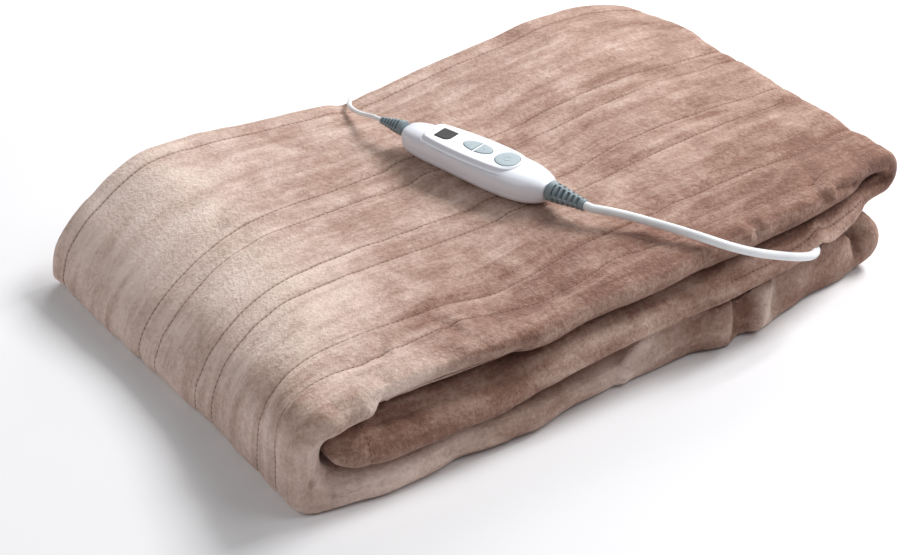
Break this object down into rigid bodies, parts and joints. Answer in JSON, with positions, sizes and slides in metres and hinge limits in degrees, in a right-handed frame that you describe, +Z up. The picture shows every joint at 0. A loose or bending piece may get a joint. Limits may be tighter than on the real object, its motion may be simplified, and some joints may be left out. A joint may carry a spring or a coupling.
{
  "type": "electric heated blanket",
  "caption": "Folded fleece heated over-blanket with quilted lines, a white handset with display and keys on top, and two white leads.",
  "frame": {"origin": "on the surface the blanket rests on, under the middle of the folded blanket", "axes": "+X along the long side towards the folds that lie free, +Y towards the hemmed back edge, +Z up"},
  "size_m": [0.5033, 0.42, 0.0998],
  "materials": {
    "fleece": "soft matt pile",
    "housing_white": "satin white moulding",
    "key_grey": "matt grey-blue moulding",
    "display_black": "glossy dark window",
    "relief_grey": "satin grey flexible moulding",
    "lead_white": "satin white sheath",
    "pin_metal": "bright plated metal"
  },
  "bodies": {
    "blanket_and_handset": {"blanket": "fleece", "handset_base": "housing_white", "handset_top": "housing_white", "handset_plate": "housing_white", "display_window": "display_black", "mains_relief": "relief_grey", "thin_relief": "relief_grey", "mains_lead": "lead_white", "blanket_lead": "lead_white", "mains_coil": "lead_white", "lead_gland": "relief_grey", "mains_plug": "lead_white", "plug_pin_left": "pin_metal", "plug_pin_right": "pin_metal", "plug_tail": "lead_white"},
    "cooler_key": {"cooler_key": "key_grey"},
    "warmer_key": {"warmer_key": "key_grey"},
    "power_key": {"power_key": "key_grey"}
  },
  "joints": [
    {"name": "cooler_key_press", "type": "slide", "parent": "blanket_and_handset", "child": "cooler_key", "axis": [0, 0, -1], "range_m": [0, 0.0006], "stiffness_N_per_m": 60, "springref_m": -0.005},
    {"name": "warmer_key_press", "type": "slide", "parent": "blanket_and_handset", "child": "warmer_key", "axis": [0, 0, -1], "range_m": [0, 0.0006], "stiffness_N_per_m": 60, "springref_m": -0.005},
    {"name": "power_key_press", "type": "slide", "parent": "blanket_and_handset", "child": "power_key", "axis": [0, 0, -1], "range_m": [0, 0.0006], "stiffness_N_per_m": 60, "springref_m": -0.005}
  ]
}
